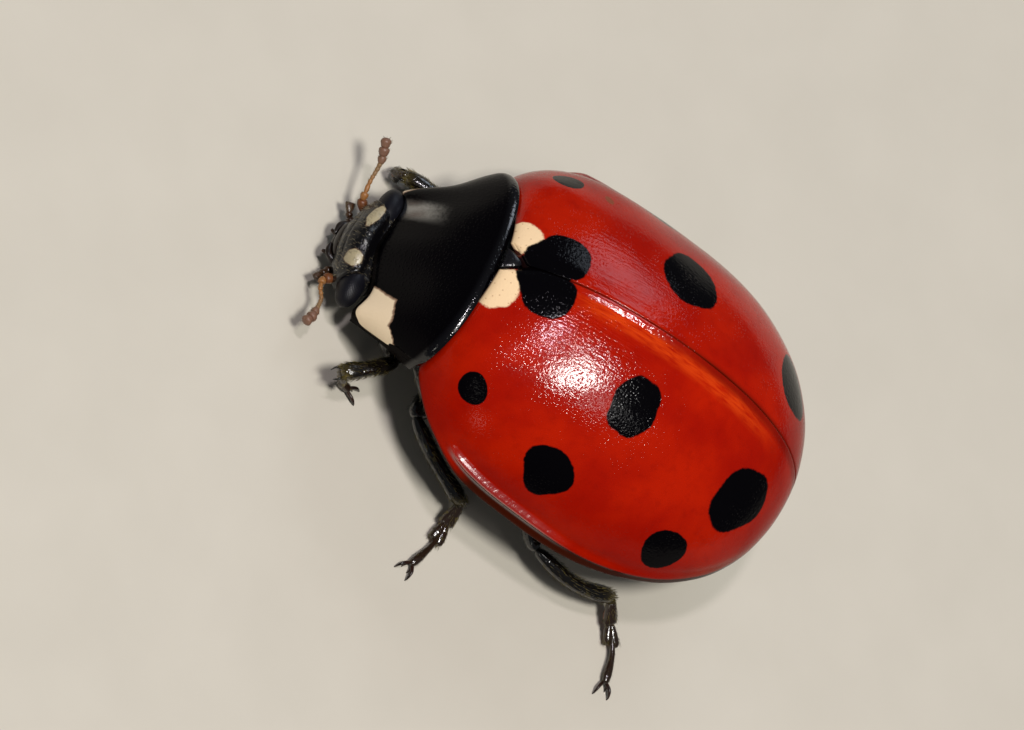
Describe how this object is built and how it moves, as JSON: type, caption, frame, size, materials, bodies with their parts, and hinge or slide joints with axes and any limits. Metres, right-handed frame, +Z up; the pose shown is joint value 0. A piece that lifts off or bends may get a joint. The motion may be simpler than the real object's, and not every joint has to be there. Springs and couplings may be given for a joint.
{
  "type": "eleven-spot ladybird, still life-size model",
  "caption": "Life-size still ladybird beetle with domed red wing cases, black shield, head, feelers and legs, standing on its feet.",
  "frame": {"origin": "on the floor under the middle of the whole insect's box", "axes": "+Y towards the tail, the head looks along -Y, +X to the insect's own left, +Z up"},
  "size_m": [0.0048, 0.0052, 0.0023],
  "materials": {
    "red_shell": "glossy red wing case with black spots",
    "black_shell": "glossy black shell with cream corners",
    "eye": "satin black faceted eye",
    "feeler": "orange-brown feeler",
    "leg": "glossy black leg with pale hairs",
    "underside": "satin black underside with fine hairs"
  },
  "bodies": {
    "root": {"elytron_left": "red_shell", "elytron_right": "red_shell", "scutellum": "black_shell", "pronotum": "black_shell", "head": "black_shell", "eye_left": "eye", "eye_right": "eye", "mouthparts": "underside", "antenna_left": "feeler", "antenna_right": "feeler", "prothorax": "underside", "thorax": "underside", "abdomen": "underside", "front_coxa_left": "leg", "front_coxa_right": "leg", "front_femur_left": "leg", "front_femur_right": "leg", "front_tibia_left": "leg", "front_tibia_right": "leg", "front_tarsus_left": "leg", "front_tarsus_right": "leg", "middle_coxa_left": "leg", "middle_coxa_right": "leg", "middle_femur_left": "leg", "middle_femur_right": "leg", "middle_tibia_left": "leg", "middle_tibia_right": "leg", "middle_tarsus_left": "leg", "middle_tarsus_right": "leg", "hind_coxa_left": "leg", "hind_coxa_right": "leg", "hind_femur_left": "leg", "hind_femur_right": "leg", "hind_tibia_left": "leg", "hind_tibia_right": "leg", "hind_tarsus_left": "leg", "hind_tarsus_right": "leg"}
  },
  "joints": []
}
